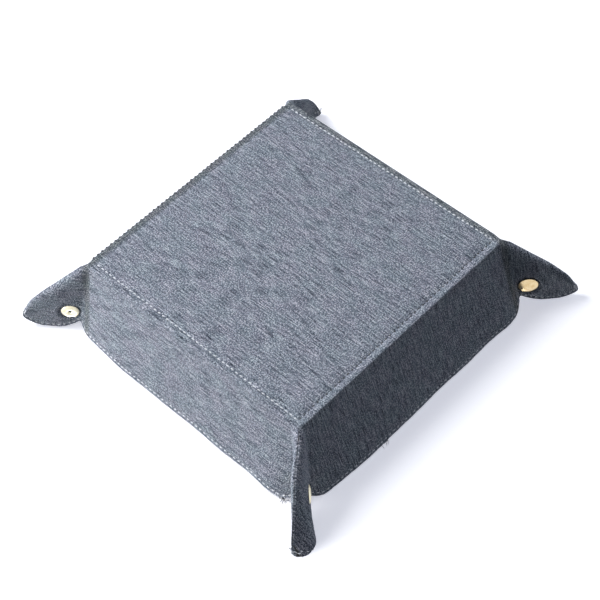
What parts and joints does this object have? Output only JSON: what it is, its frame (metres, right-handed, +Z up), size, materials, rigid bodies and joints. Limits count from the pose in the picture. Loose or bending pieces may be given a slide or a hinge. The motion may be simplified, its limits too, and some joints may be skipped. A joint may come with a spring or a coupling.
{
  "type": "folding dice tray",
  "caption": "Square fabric dice tray with folding walls, each corner pinched into a pointed ear and held by a brass snap; opens out to a flat sheet.",
  "frame": {"origin": "centre of the base's underside", "axes": "+Z up out of the open side, +X through the right wall, +Y through the back wall, all parallel to the base's fold lines"},
  "size_m": [0.2536, 0.2536, 0.0591],
  "materials": {
    "cover_cloth": "heathered slub weave, matt",
    "lining_felt": "short-pile felt, matt",
    "interlining": "stiff non-woven sheet",
    "base_board": "pressed grey board",
    "thread": "twisted sewing thread",
    "snap_brass": "polished, light wear",
    "snap_eyelet": "pale brass, satin",
    "snap_spring": "drawn spring wire"
  },
  "bodies": {
    "base": {"base_cover": "cover_cloth", "base_board": "base_board", "base_lining": "lining_felt", "base_seam_thread": "thread"},
    "right_wall": {"right_wall_cover": "cover_cloth", "right_wall_interlining": "interlining", "right_wall_lining": "lining_felt", "right_rim_thread": "thread"},
    "back_wall": {"back_wall_cover": "cover_cloth", "back_wall_interlining": "interlining", "back_wall_lining": "lining_felt", "back_rim_thread": "thread"},
    "left_wall": {"left_wall_cover": "cover_cloth", "left_wall_interlining": "interlining", "left_wall_lining": "lining_felt", "left_rim_thread": "thread"},
    "front_wall": {"front_wall_cover": "cover_cloth", "front_wall_interlining": "interlining", "front_wall_lining": "lining_felt", "front_rim_thread": "thread"},
    "back_right_stud_flap": {"back_right_stud_flap_cover": "cover_cloth", "back_right_stud_flap_lining": "lining_felt", "back_right_snap_stud": "snap_brass", "back_right_snap_eyelet": "snap_eyelet"},
    "back_right_cap_flap": {"back_right_cap_flap_cover": "cover_cloth", "back_right_cap_flap_lining": "lining_felt", "back_right_snap_cap": "snap_brass", "back_right_snap_socket": "snap_brass", "back_right_snap_spring": "snap_spring"},
    "back_left_stud_flap": {"back_left_stud_flap_cover": "cover_cloth", "back_left_stud_flap_lining": "lining_felt", "back_left_snap_stud": "snap_brass", "back_left_snap_eyelet": "snap_eyelet"},
    "back_left_cap_flap": {"back_left_cap_flap_cover": "cover_cloth", "back_left_cap_flap_lining": "lining_felt", "back_left_snap_cap": "snap_brass", "back_left_snap_socket": "snap_brass", "back_left_snap_spring": "snap_spring"},
    "front_left_stud_flap": {"front_left_stud_flap_cover": "cover_cloth", "front_left_stud_flap_lining": "lining_felt", "front_left_snap_stud": "snap_brass", "front_left_snap_eyelet": "snap_eyelet"},
    "front_left_cap_flap": {"front_left_cap_flap_cover": "cover_cloth", "front_left_cap_flap_lining": "lining_felt", "front_left_snap_cap": "snap_brass", "front_left_snap_socket": "snap_brass", "front_left_snap_spring": "snap_spring"},
    "front_right_stud_flap": {"front_right_stud_flap_cover": "cover_cloth", "front_right_stud_flap_lining": "lining_felt", "front_right_snap_stud": "snap_brass", "front_right_snap_eyelet": "snap_eyelet"},
    "front_right_cap_flap": {"front_right_cap_flap_cover": "cover_cloth", "front_right_cap_flap_lining": "lining_felt", "front_right_snap_cap": "snap_brass", "front_right_snap_socket": "snap_brass", "front_right_snap_spring": "snap_spring"}
  },
  "joints": [
    {"name": "right_wall_fold", "type": "hinge", "parent": "base", "child": "right_wall", "pos_m": [0.09, 0, 0], "axis": [0, 1, 0], "range_deg": [0, 78]},
    {"name": "back_wall_fold", "type": "hinge", "parent": "base", "child": "back_wall", "pos_m": [0, 0.09, 0], "axis": [-1, 0, 0], "range_deg": [0, 78]},
    {"name": "left_wall_fold", "type": "hinge", "parent": "base", "child": "left_wall", "pos_m": [-0.09, 0, 0], "axis": [0, -1, 0], "range_deg": [0, 78]},
    {"name": "front_wall_fold", "type": "hinge", "parent": "base", "child": "front_wall", "pos_m": [0, -0.09, 0], "axis": [1, 0, 0], "range_deg": [0, 78]},
    {"name": "back_right_stud_flap_fold", "type": "hinge", "parent": "right_wall", "child": "back_right_stud_flap", "pos_m": [0.09, 0.08533, 0], "axis": [0.2036, 0.2036, 0.9577], "range_deg": [0, 46.24]},
    {"name": "back_right_cap_flap_fold", "type": "hinge", "parent": "back_wall", "child": "back_right_cap_flap", "pos_m": [0.08533, 0.09, 0], "axis": [-0.2036, -0.2036, -0.9577], "range_deg": [0, 46.24]},
    {"name": "back_left_stud_flap_fold", "type": "hinge", "parent": "back_wall", "child": "back_left_stud_flap", "pos_m": [-0.08533, 0.09, 0], "axis": [-0.2036, 0.2036, 0.9577], "range_deg": [0, 46.24]},
    {"name": "back_left_cap_flap_fold", "type": "hinge", "parent": "left_wall", "child": "back_left_cap_flap", "pos_m": [-0.09, 0.08533, 0], "axis": [0.2036, -0.2036, -0.9577], "range_deg": [0, 46.24]},
    {"name": "front_left_stud_flap_fold", "type": "hinge", "parent": "left_wall", "child": "front_left_stud_flap", "pos_m": [-0.09, -0.08533, 0], "axis": [-0.2036, -0.2036, 0.9577], "range_deg": [0, 46.24]},
    {"name": "front_left_cap_flap_fold", "type": "hinge", "parent": "front_wall", "child": "front_left_cap_flap", "pos_m": [-0.08533, -0.09, 0], "axis": [0.2036, 0.2036, -0.9577], "range_deg": [0, 46.24]},
    {"name": "front_right_stud_flap_fold", "type": "hinge", "parent": "front_wall", "child": "front_right_stud_flap", "pos_m": [0.08533, -0.09, 0], "axis": [0.2036, -0.2036, 0.9577], "range_deg": [0, 46.24]},
    {"name": "front_right_cap_flap_fold", "type": "hinge", "parent": "right_wall", "child": "front_right_cap_flap", "pos_m": [0.09, -0.08533, 0], "axis": [-0.2036, 0.2036, -0.9577], "range_deg": [0, 46.24]}
  ],
  "couplings": [
    {"joint": "back_wall_fold", "follows": "right_wall_fold", "ratio": 1},
    {"joint": "left_wall_fold", "follows": "right_wall_fold", "ratio": 1},
    {"joint": "front_wall_fold", "follows": "right_wall_fold", "ratio": 1},
    {"joint": "back_right_stud_flap_fold", "follows": "right_wall_fold", "ratio": 0.5928},
    {"joint": "back_right_cap_flap_fold", "follows": "right_wall_fold", "ratio": 0.5928},
    {"joint": "back_left_stud_flap_fold", "follows": "right_wall_fold", "ratio": 0.5928},
    {"joint": "back_left_cap_flap_fold", "follows": "right_wall_fold", "ratio": 0.5928},
    {"joint": "front_left_stud_flap_fold", "follows": "right_wall_fold", "ratio": 0.5928},
    {"joint": "front_left_cap_flap_fold", "follows": "right_wall_fold", "ratio": 0.5928},
    {"joint": "front_right_stud_flap_fold", "follows": "right_wall_fold", "ratio": 0.5928},
    {"joint": "front_right_cap_flap_fold", "follows": "right_wall_fold", "ratio": 0.5928}
  ]
}
